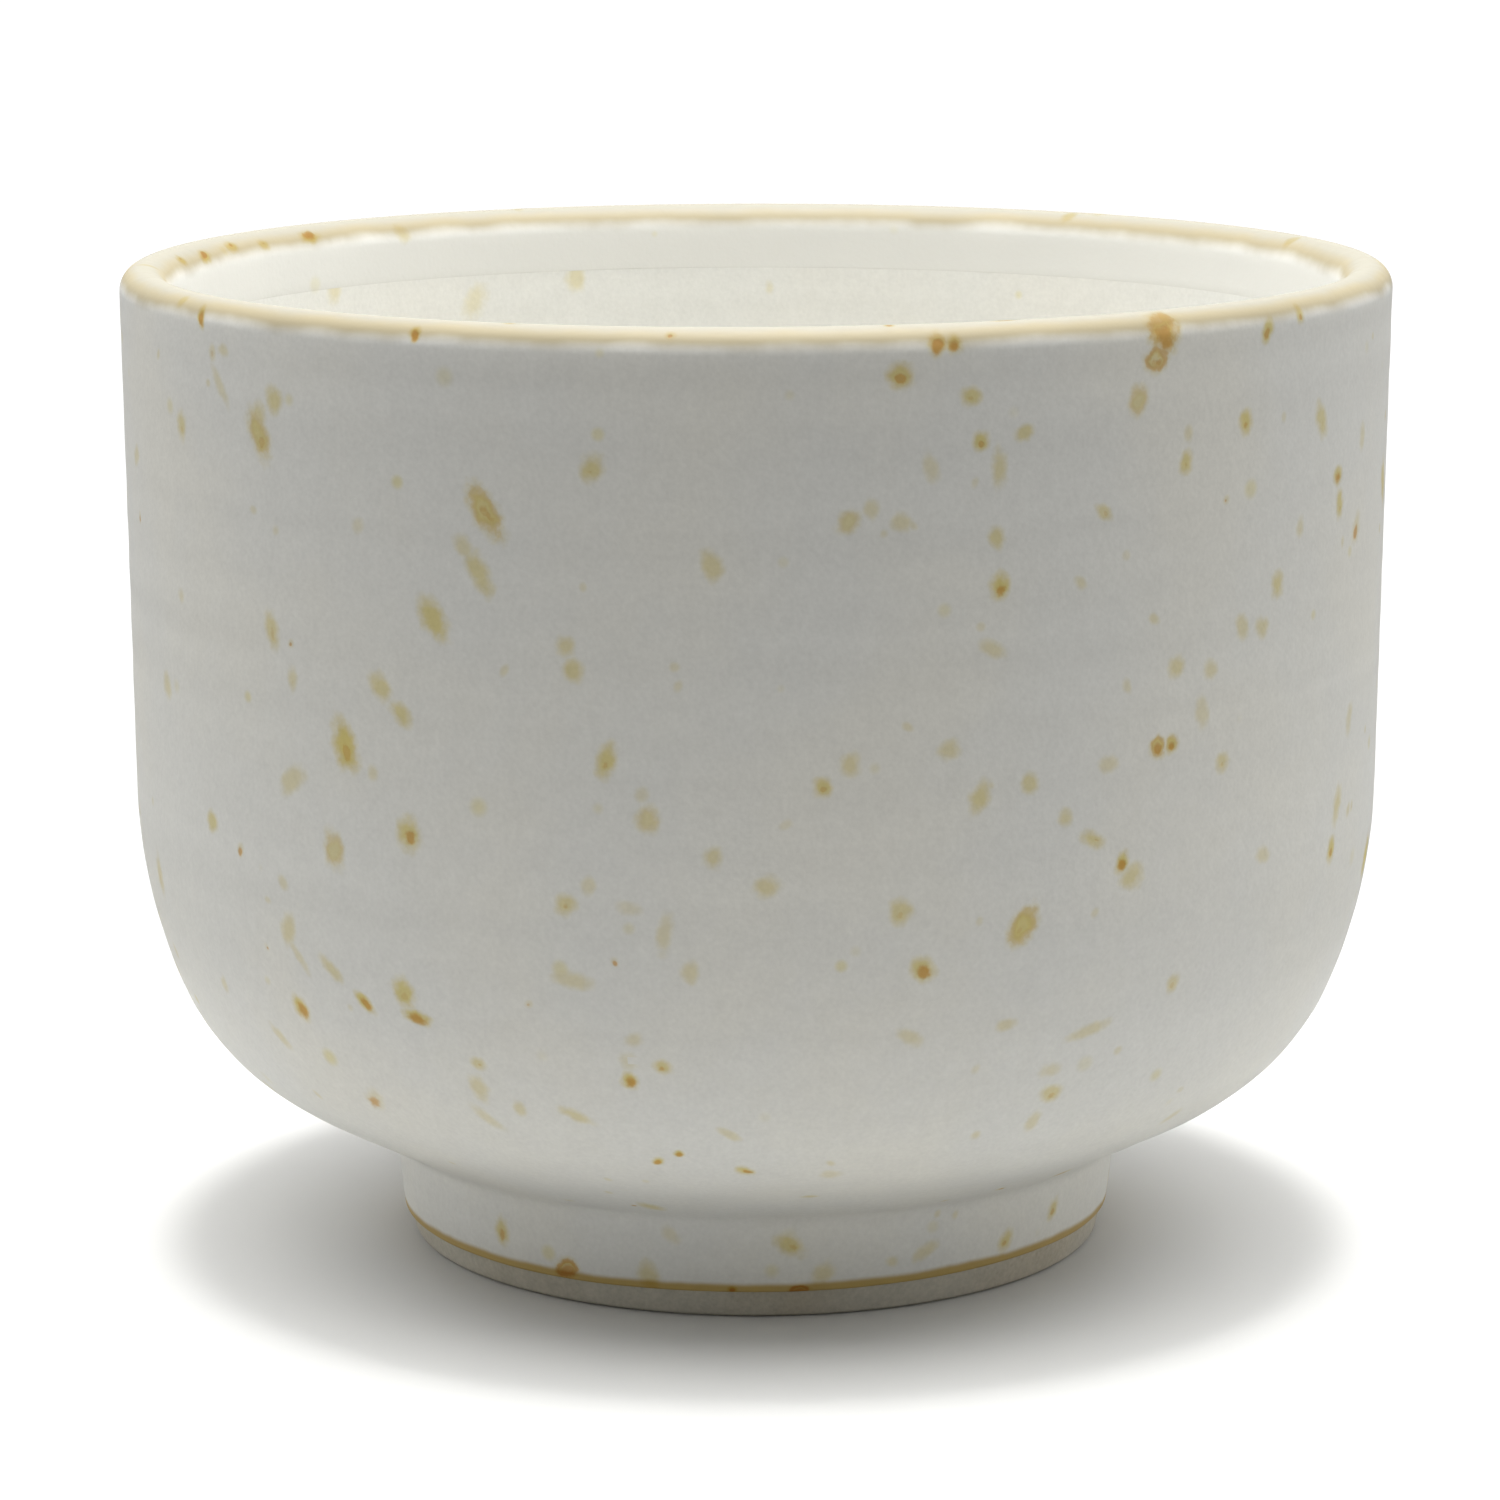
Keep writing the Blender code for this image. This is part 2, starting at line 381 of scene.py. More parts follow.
    radius = calc(tree, "MULTIPLY_ADD", facing["X"], ridge, calc(tree, "ADD", point["X"], sway))
    height = calc(tree, "MULTIPLY_ADD", facing["Z"], ridge, point["Z"])
    x = calc(tree, "MULTIPLY", radius, cosine)
    y = calc(tree, "MULTIPLY", radius, sine)

    xShare = calc(tree, "DIVIDE", x, given["Rim"])
    yShare = calc(tree, "DIVIDE", y, given["Rim"])
    tilt = calc(tree, "MULTIPLY", xShare, calc(tree, "MULTIPLY_ADD", yShare, -0.4, 0.6))
    tilt = calc(tree, "MULTIPLY", tilt, given["Rim Tilt"])
    height = calc(tree, "MULTIPLY_ADD", tilt, calc(tree, "POWER", level, 4.0), height)
    wave = calc(tree, "MULTIPLY", roundNoise(1.0, 0.0, 1.6, 2.2), 0.6)
    wave = calc(tree, "MULTIPLY", calc(tree, "MULTIPLY_ADD", xShare, 1.7, wave), given["Line Wave"])
    height = calc(tree, "MULTIPLY_ADD", wave, span(tree, point["Z"], *waveZone), height)

    spot = place(tree, "ShaderNodeCombineXYZ", {0: x, 1: y, 2: height}).outputs[0]
    shell = place(tree, "GeometryNodeSetPosition", {"Geometry": grid.outputs["Mesh"], "Position": spot})
    for name, value in (("drop", drop), ("skin", skin)):
        values = {"Geometry": shell.outputs[0], "Name": name, "Value": value}
        kind = "GeometryNodeStoreNamedAttribute"
        shell = place(tree, kind, values, data_type="FLOAT", domain="POINT")
    values = {"Geometry": shell.outputs[0], "Distance": 0.002 * mm}
    shell = place(tree, "GeometryNodeMergeByDistance", values)  # closes the seam and the poles
    shell = place(tree, "GeometryNodeSetShadeSmooth", {"Geometry": shell.outputs[0]})
    shell = place(tree, "GeometryNodeRealizeInstances", {"Geometry": shell.outputs[0]})
    values = {"Geometry": shell.outputs[0], "Material": given["Finish"]}
    shell = place(tree, "GeometryNodeSetMaterial", values)
    tree.links.new(shell.outputs[0], tree.nodes.new("NodeGroupOutput").inputs[0])
    return tree


# What the wheel leaves in every turned piece
throwing = {
    "Turn Steps": 288,
    "Sway": 0.12 * mm,  # slow out-of-round
    "Ring Depth": 0.022 * mm,  # ridges left by the fingers
    "Ring Pitch": 5.5 * mm,
    "Rim Tilt": 0.3 * mm,
    "Line Wave": 0.0,
    "Rim": bowl["rim"],
    "Height": bowl["height"],
    "Seed": 3.7,
}
turnedShell = turnedShellTree()


def turn(name, rows, finish, changes=None):
    profile = bpy.data.meshes.new(name)
    edges = [(i, i + 1) for i in range(len(rows) - 1)]
    profile.from_pydata([(x, 0.0, z) for x, z in rows[:, :2]], edges, [])
    heading = rows[:, headingAt]
    facing = np.column_stack((-np.sin(heading), np.zeros(len(rows)), np.cos(heading)))
    attribute = profile.attributes.new("facing", "FLOAT_VECTOR", "POINT")
    attribute.data.foreach_set("vector", facing.ravel())
    for key, column in (("drop", dropAt), ("skin", skinAt)):
        attribute = profile.attributes.new(key, "FLOAT", "POINT")
        attribute.data.foreach_set("value", rows[:, column].copy())
    piece = bpy.data.objects.new(name, profile)
    bpy.context.scene.collection.objects.link(piece)
    wheel = piece.modifiers.new("wheel", "NODES")
    wheel.node_group = turnedShell
    values = {**throwing, **(changes or {}), "Finish": finish}
    for item in turnedShell.interface.items_tree:
        if item.in_out == "INPUT" and item.name in values:
            wheel[item.identifier] = values[item.name]
    graph = bpy.context.evaluated_depsgraph_get()
    shell = bpy.data.meshes.new_from_object(piece.evaluated_get(graph), depsgraph=graph)
    piece.modifiers.remove(wheel)
    piece.data = shell
    bpy.data.meshes.remove(profile)
    shell.name = name
    build = bmesh.new()
    build.from_mesh(shell)
    bmesh.ops.recalc_face_normals(build, faces=build.faces)
    if build.calc_volume(signed=True) < 0:
        bmesh.ops.reverse_faces(build, faces=build.faces)
    loose = sum(len(edge.link_faces) != 2 for edge in build.edges)
    build.to_mesh(shell)
    build.free()
    print(name, "turned:", len(shell.polygons), "faces,", loose, "open edges")
    return piece


def newGroup(name, inputs, outputs):
    group = bpy.data.node_groups.new(name, "ShaderNodeTree")
    for key, kind in inputs.items():
        group.interface.new_socket(key, in_out="INPUT", socket_type="NodeSocket" + kind)
    for key, kind in outputs.items():
        group.interface.new_socket(key, in_out="OUTPUT", socket_type="NodeSocket" + kind)
    given = group.nodes.new("NodeGroupInput").outputs
    out = group.nodes.new("NodeGroupOutput").inputs
    return group, given, out


def blend(tree, amount, first, second, way="MIX"):
    node = place(tree, "ShaderNodeMix", data_type="RGBA", blend_type=way)
    for index, value in ((0, amount), (6, first), (7, second)):
        if isinstance(value, bpy.types.NodeSocket):
            tree.links.new(value, node.inputs[index])
        elif index:
            node.inputs[index].default_value = (*value, 1.0)
        else:
            node.inputs[index].default_value = value
    return node.outputs[2]


# How iron shows in the glaze. Spans are distances from the middle of a mark, where 1 is its
# edge: the tint grows from the first to the second.
iron = {
    "yellow": (0.86, 0.73, 0.27),
    "brown": (0.85, 0.59, 0.36),
    "faint": (0.93, 0.86, 0.50),
    "halo": (1.42, 0.34),
    "hollow": (0.6, 0.2),  # the middle of a ringed mark is paler
    "hollowDepth": 0.35,
    "coreSize": (0.12, 0.75),  # the smallest, and what full strength adds
    "coreSoftness": 0.35,
    "coreBelow": 0.25,  # iron runs down a little as it melts
    "ringInside": (0.3, 0.65),
    "ringOutside": (1.05, 0.75),
    "ragged": 0.55,
    "raggedGrain": 1.1 * mm,
    "sunk": 0.8,  # thick iron dents the glaze
    "faintSpacing": 6.5 * mm,
    "faintShare": 0.5,
    "faintSize": (0.09, 0.1),  # the smallest, and what chance adds
}
markLayers = "ABC"  # up to three marks can cross on one face


def ironMarkGroup():
    # One speck of iron: a yellow halo, and a brown core or ring where the iron is thick
    group, given, out = newGroup(
        "iron mark",
        {"Place": "Vector", "Tone": "Vector", "Ragged": "Float"},
        {"Yellow": "Float", "Brown": "Float"},
    )
    local = place(group, "ShaderNodeSeparateXYZ", {0: given["Place"]}).outputs
    tone = place(group, "ShaderNodeSeparateXYZ", {0: given["Tone"]}).outputs

    def away(below):  # from the middle, or from a point below it, with a ragged edge
        square = calc(group, "MULTIPLY", local["X"], local["X"])
        lowered = calc(group, "SUBTRACT", local["Y"], below)
        square = calc(group, "MULTIPLY_ADD", lowered, lowered, square)
        plain = calc(group, "SQRT", square)
        return calc(group, "MULTIPLY_ADD", given["Ragged"], iron["ragged"], plain)

    edge = away(0.0)
    halo = calc(group, "MULTIPLY", span(group, edge, *iron["halo"]), local["Z"])
    hollow = calc(group, "MULTIPLY", span(group, edge, *iron["hollow"]), tone["Y"])
    paler = calc(group, "MULTIPLY_ADD", hollow, -iron["hollowDepth"], 1.0)
    yellow = calc(group, "MULTIPLY", halo, paler)
    smallest, added = iron["coreSize"]
    wide = calc(group, "MULTIPLY_ADD", tone["X"], added, smallest)
    narrow = calc(group, "MULTIPLY", wide, iron["coreSoftness"])
    core = span(group, away(iron["coreBelow"]), wide, narrow)
    thick = calc(group, "MINIMUM", calc(group, "MULTIPLY", tone["X"], 1.6), 1.0)
    core = calc(group, "MULTIPLY", core, thick)
    inside = span(group, edge, *iron["ringInside"])
    ring = calc(group, "MULTIPLY", inside, span(group, edge, *iron["ringOutside"]))
    ring = calc(group, "MULTIPLY", ring, tone["Y"])
    group.links.new(yellow, out["Yellow"])
    group.links.new(calc(group, "MAXIMUM", core, ring), out["Brown"])
    return group


def faintSpecksGroup():
    # The many small specks that barely show through the glaze
    group, given, out = newGroup(
        "faint specks",
        {"Vector": "Vector", "Spacing": "Float", "Share": "Float"},
        {"Mask": "Float"},
    )
    scale = calc(group, "DIVIDE", 1.0, given["Spacing"])
    cells = place(group, "ShaderNodeTexVoronoi", {"Vector": given["Vector"], "Scale": scale})
    chance = place(group, "ShaderNodeSeparateColor", {0: cells.outputs["Color"]}).outputs
    smallest, added = iron["faintSize"]
    size = calc(group, "MULTIPLY_ADD", chance[1], added, smallest)
    spot = span(group, cells.outputs["Distance"], size, calc(group, "MULTIPLY", size, 0.3))
    kept = calc(group, "LESS_THAN", chance[0], given["Share"])
    spot = calc(group, "MULTIPLY", spot, calc(group, "MULTIPLY_ADD", chance[2], 0.6, 0.25))
    group.links.new(calc(group, "MULTIPLY", spot, kept), out["Mask"])
    return group


# The fired surface, for glaze and clay alike
firing = {
    "clouds": 18 * mm,
    "coarse": 1.6 * mm,
    "fine": 0.42 * mm,
    "lines": (12.0, 12.0, 420.0),  # throwing lines run round, close above each other
    "lineShade": 0.07,
    "glossPatches": 0.16,
}


def stonewareGroup():
    # Fine grain, slow clouds and faint throwing lines, for glaze and clay alike
    group, given, out = newGroup(
        "stoneware surface",
        {"Vector": "Vector", "Ground": "Color", "Cloud": "Color", "Grain": "Float", "Gloss": "Float"},
        {"Color": "Color", "Roughness": "Float", "Height": "Float"},
    )
    vector = given["Vector"]
    clouds = noiseOf(group, vector, 1 / firing["clouds"], 3.0)
    colour = blend(group, span(group, clouds, 0.35, 0.7), given["Ground"], given["Cloud"])
    wound = place(group, "ShaderNodeMapping", {"Vector": vector, "Scale": firing["lines"]}).outputs[0]
    lines = noiseOf(group, wound, 1.0)
    fine = noiseOf(group, vector, 1 / firing["fine"])
    coarse = noiseOf(group, vector, 1 / firing["coarse"], 3.0)
    offCoarse = calc(group, "SUBTRACT", coarse, 0.5)
    uneven = calc(group, "MULTIPLY_ADD", offCoarse, 0.6, calc(group, "SUBTRACT", fine, 0.5))
    shade = calc(group, "MULTIPLY_ADD", uneven, given["Grain"], 1.0)
    offLines = calc(group, "SUBTRACT", lines, 0.5)
    shade = calc(group, "MULTIPLY_ADD", offLines, firing["lineShade"], shade)
    grey = place(group, "ShaderNodeCombineColor", {0: shade, 1: shade, 2: shade}).outputs[0]
    group.links.new(blend(group, 1.0, colour, grey, "MULTIPLY"), out["Color"])
    patches = calc(group, "MULTIPLY_ADD", offCoarse, firing["glossPatches"], given["Gloss"])
    group.links.new(patches, out["Roughness"])
    height = calc(group, "MULTIPLY_ADD", coarse, 0.6, calc(group, "MULTIPLY", fine, 0.4))
    group.links.new(height, out["Height"])
    return group


ironMark = ironMarkGroup()
faintSpecks = faintSpecksGroup()
stoneware = stonewareGroup()
print("iron, speck and stoneware groups built")


def newFinish(name, look):
    material = bpy.data.materials.new(name)
    material.use_nodes = True
    tree = material.node_tree
    tree.nodes["Principled BSDF"].inputs["IOR"].default_value = look["ior"]
    where = place(tree, "ShaderNodeTexCoord").outputs["Object"]
    values = {"Vector": where, "Ground": (*look["ground"], 1.0), "Cloud": (*look["cloud"], 1.0)}
    values |= {"Grain": look["grain"], "Gloss": look["roughness"]}
    surface = place(tree, "ShaderNodeGroup", values, node_tree=stoneware).outputs
    return material, where, surface


def finishSurface(material, colour, roughness, height, relief):
    tree = material.node_tree
    shader = tree.nodes["Principled BSDF"].inputs
    tree.links.new(colour, shader["Base Color"])
    tree.links.new(roughness, shader["Roughness"])
    bump = place(tree, "ShaderNodeBump", {"Height": height, "Distance": relief, "Strength": 1.0})
    tree.links.new(bump.outputs[0], shader["Normal"])


def attributeOf(tree, name, output):
    return place(tree, "ShaderNodeAttribute", attribute_name=name).outputs[output]


def lipTintAndShade(tree, where, drop, colour, lip):
    # Glaze thins over the lip and shows cream, with ochre where it thickens again; both lip colours are
    # also kept dark as painted shade against the strong light on the lip's top
    noise = noiseOf(tree, where, 1 / lip["waverLength"], 3.0)
    waver = calc(tree, "MULTIPLY_ADD", noise, 2 * lip["waver"], -lip["waver"])
    level = calc(tree, "ADD", drop, waver)
    inside, outside, innerEdge, outerEdge = (
        span(tree, level, *lip[key]) for key in ("inside", "outside", "innerEdge", "outerEdge")
    )
    # the lip band: real cream and ochre tint, darkened as painted shade on the brightly lit top
    tintAndShadeBand = calc(tree, "MULTIPLY", inside, outside)
    edges = calc(tree, "MAXIMUM", innerEdge, outerEdge)
    colour = blend(tree, span(tree, drop, *lip["within"]), colour, lip["withinColour"])
    return blend(tree, tintAndShadeBand, colour, blend(tree, edges, lip["crown"], lip["edge"]))


def lineColour(tree, where, drop, colour, line):  # the ochre line where the glaze ends
    noise = noiseOf(tree, where, 1 / line["waverLength"], 3.0)
    waver = calc(tree, "MULTIPLY", noise, -line["waver"])
    level = calc(tree, "ADD", drop, waver)
    return blend(tree, span(tree, level, *line["fade"]), colour, line["colour"])


def glazeFinish(name, look):
    material, where, surface = newFinish(name, look)
    tree = material.node_tree
    colour = surface["Color"]
    drop = attributeOf(tree, "drop", "Fac")
    if "lip" in look:
        colour = lipTintAndShade(tree, where, drop, colour, look["lip"])
    if "line" in look:
        colour = lineColour(tree, where, drop, colour, look["line"])
    values = {"Vector": where, "Spacing": iron["faintSpacing"], "Share": iron["faintShare"]}
    faint = place(tree, "ShaderNodeGroup", values, node_tree=faintSpecks)
    colour = blend(tree, faint.outputs["Mask"], colour, iron["faint"], "MULTIPLY")
    ragged = signedNoise(tree, where, 1 / iron["raggedGrain"], 3.0)
    yellow = brown = 0.0
    for layer in markLayers:
        values = {
            "Place": attributeOf(tree, "markPlace" + layer, "Vector"),
            "Tone": attributeOf(tree, "markTone" + layer, "Vector"),
            "Ragged": ragged,
        }
        mark = place(tree, "ShaderNodeGroup", values, node_tree=ironMark).outputs
        yellow = calc(tree, "MAXIMUM", mark["Yellow"], yellow)
        brown = calc(tree, "MAXIMUM", mark["Brown"], brown)
    colour = blend(tree, yellow, colour, iron["yellow"], "MULTIPLY")
    colour = blend(tree, brown, colour, iron["brown"], "MULTIPLY")
    height = calc(tree, "MULTIPLY_ADD", brown, -iron["sunk"], surface["Height"])
    finishSurface(material, colour, surface["Roughness"], height, look["relief"])
    return material


def clayFinish(name, look):
    material, _, surface = newFinish(name, look)
    finishSurface(material, *(surface[key] for key in ("Color", "Roughness", "Height")), look["relief"])
    return material


class Marks:
    # Lays iron marks on a turned piece. Each face keeps, for up to three marks, where its
    # corners lie in the mark's own frame, so a mark stays sharp on any mesh.
    reach = 1.7  # how far from its middle a mark can still tint, where 1 is its edge
    away = 9.0  # a place well outside any mark
    slack = 1.0 * mm  # about the size of a face
    depth = 1.5 * mm  # faces further than this from the mark's own plane are left alone

    def __init__(self, piece, rows):
        mesh = piece.data
        self.mesh = mesh
        shown = rows[rows[:, skinAt] > 0.5]
        self.rows = shown[np.argsort(shown[:, dropAt])]
        corners = np.empty(len(mesh.vertices) * 3)
        mesh.vertices.foreach_get("co", corners)
        self.spots = corners.reshape(-1, 3)
        skin = np.empty(len(mesh.vertices))
        mesh.attributes["skin"].data.foreach_get("value", skin)
        self.loops = np.empty(len(mesh.loops), dtype=int)
        mesh.loops.foreach_get("vertex_index", self.loops)
        counts = np.empty(len(mesh.polygons), dtype=int)
        mesh.polygons.foreach_get("loop_total", counts)
        self.faceOf = np.repeat(np.arange(len(counts)), counts)
        self.shown = np.bincount(self.faceOf, skin[self.loops]) / counts > 0.4
        centres = [np.bincount(self.faceOf, self.spots[self.loops, axis]) / counts for axis in range(3)]
        self.centres = np.column_stack(centres)
        self.used = np.zeros(len(counts), dtype=int)
        self.place = np.zeros((len(markLayers), len(self.loops), 3))
        self.place[:, :, :2] = self.away
        self.tone = np.zeros((len(markLayers), len(self.loops), 3))
        self.count = 0

    def add(self, turn, drop, wide, long, lean, strength, core=0.0, ring=0.0):
        # turn is round from the front; turn and lean in degrees, drop, wide and long in mm
        drops = self.rows[:, dropAt]
        x, z, heading = (np.interp(drop * mm, drops, self.rows[:, i]) for i in range(3))
        angle = math.radians(turn) - quarter
        outwards = np.array((math.cos(angle), math.sin(angle), 0.0))
        across = np.array((-math.sin(angle), math.cos(angle), 0.0))
        down = outwards * math.cos(heading) + np.array((0.0, 0.0, math.sin(heading)))
        normal = outwards * -math.sin(heading) + np.array((0.0, 0.0, math.cos(heading)))
        middle = outwards * x + np.array((0.0, 0.0, z))
        tip = math.radians(lean)
        side = (across * math.cos(tip) + down * math.sin(tip)) / (wide * mm / 2)
        along = (down * math.cos(tip) - across * math.sin(tip)) / (long * mm / 2)
        offset = self.centres - middle
        near = np.abs(offset @ side) < self.reach + self.slack / (wide * mm / 2)
        near &= np.abs(offset @ along) < self.reach + self.slack / (long * mm / 2)
        near &= np.abs(offset @ normal) < self.depth
        near &= self.shown & (self.used < len(markLayers))
        taken = near[self.faceOf]
        layer = self.used[self.faceOf[taken]]
        local = self.spots[self.loops[taken]] - middle
        slot = np.flatnonzero(taken)
        strengths = np.full(len(slot), strength)
        self.place[layer, slot] = np.column_stack((local @ side, local @ along, strengths))
        self.tone[layer, slot] = (core, ring, 0.0)
        self.used[near] += 1
        self.count += 1

    def keep(self):
        for name, layers in (("markPlace", self.place), ("markTone", self.tone)):
            for letter, values in zip(markLayers, layers):
                attribute = self.mesh.attributes.new(name + letter, "FLOAT_VECTOR", "CORNER")
                attribute.data.foreach_set("vector", values.astype(np.float32).ravel())
        print(self.count, "iron marks laid on", self.mesh.name)


def scatter(marks, count, seed, drops, turns=(-180.0, 180.0), largest=1.0):
    # Most specks are small and faint, a few are large, and one in five has a brown core
    chance = random.Random(seed)
    for _ in range(count):
        size = (0.9 + 2.2 * chance.random() ** 4) * largest
        lean = chance.gauss(0.0, 35.0)
        long = size * chance.uniform(1.0, 1.7)
        strength = min(1.0, 0.18 + 0.22 * size * chance.uniform(0.4, 1.5))
        core = chance.uniform(0.2, 1.0) if chance.random() < 0.2 else 0.0
        marks.add(chance.uniform(*turns), chance.uniform(*drops), size, long, lean, strength, core)


# The outer coat, from the lap inside the lip down to the glaze line on the foot
outerCoat = {
    "ground": (0.580, 0.577, 0.542),
    "cloud": (0.598, 0.588, 0.537),
    "grain": 0.16,
    "roughness": 0.6,
    "relief": 0.03 * mm,
    "ior": 1.35,
    "lip": {  # spans are drops over the lip, from where a colour starts to where it is full
        # crown and edge: cream and ochre of thin glaze, darkened far below the wall's glaze as painted
        # shade on the brightly lit top of the lip
        "crown": (0.265, 0.251, 0.203),
        "edge": (0.29, 0.25, 0.158),
        "inside": (-3.9 * mm, -2.3 * mm),
        "outside": (3.3 * mm, 2.0 * mm),
        "innerEdge": (-1.0 * mm, -2.4 * mm),
        "outerEdge": (0.5 * mm, 1.7 * mm),
        "within": (-1.5 * mm, -3.9 * mm),
        "withinColour": (0.63, 0.625, 0.59),
        "waver": 0.7 * mm,
        "waverLength": 7 * mm,
    },
    "line": {  # widths are up from the end of the glaze
        "colour": (0.38, 0.27, 0.09),
        "width": 1.6 * mm,
        "fullWidth": 1.0 * mm,
        "waver": 0.5 * mm,
        "waverLength": 5 * mm,
    },
    "wheel": {"Line Wave": 0.3 * mm},
}

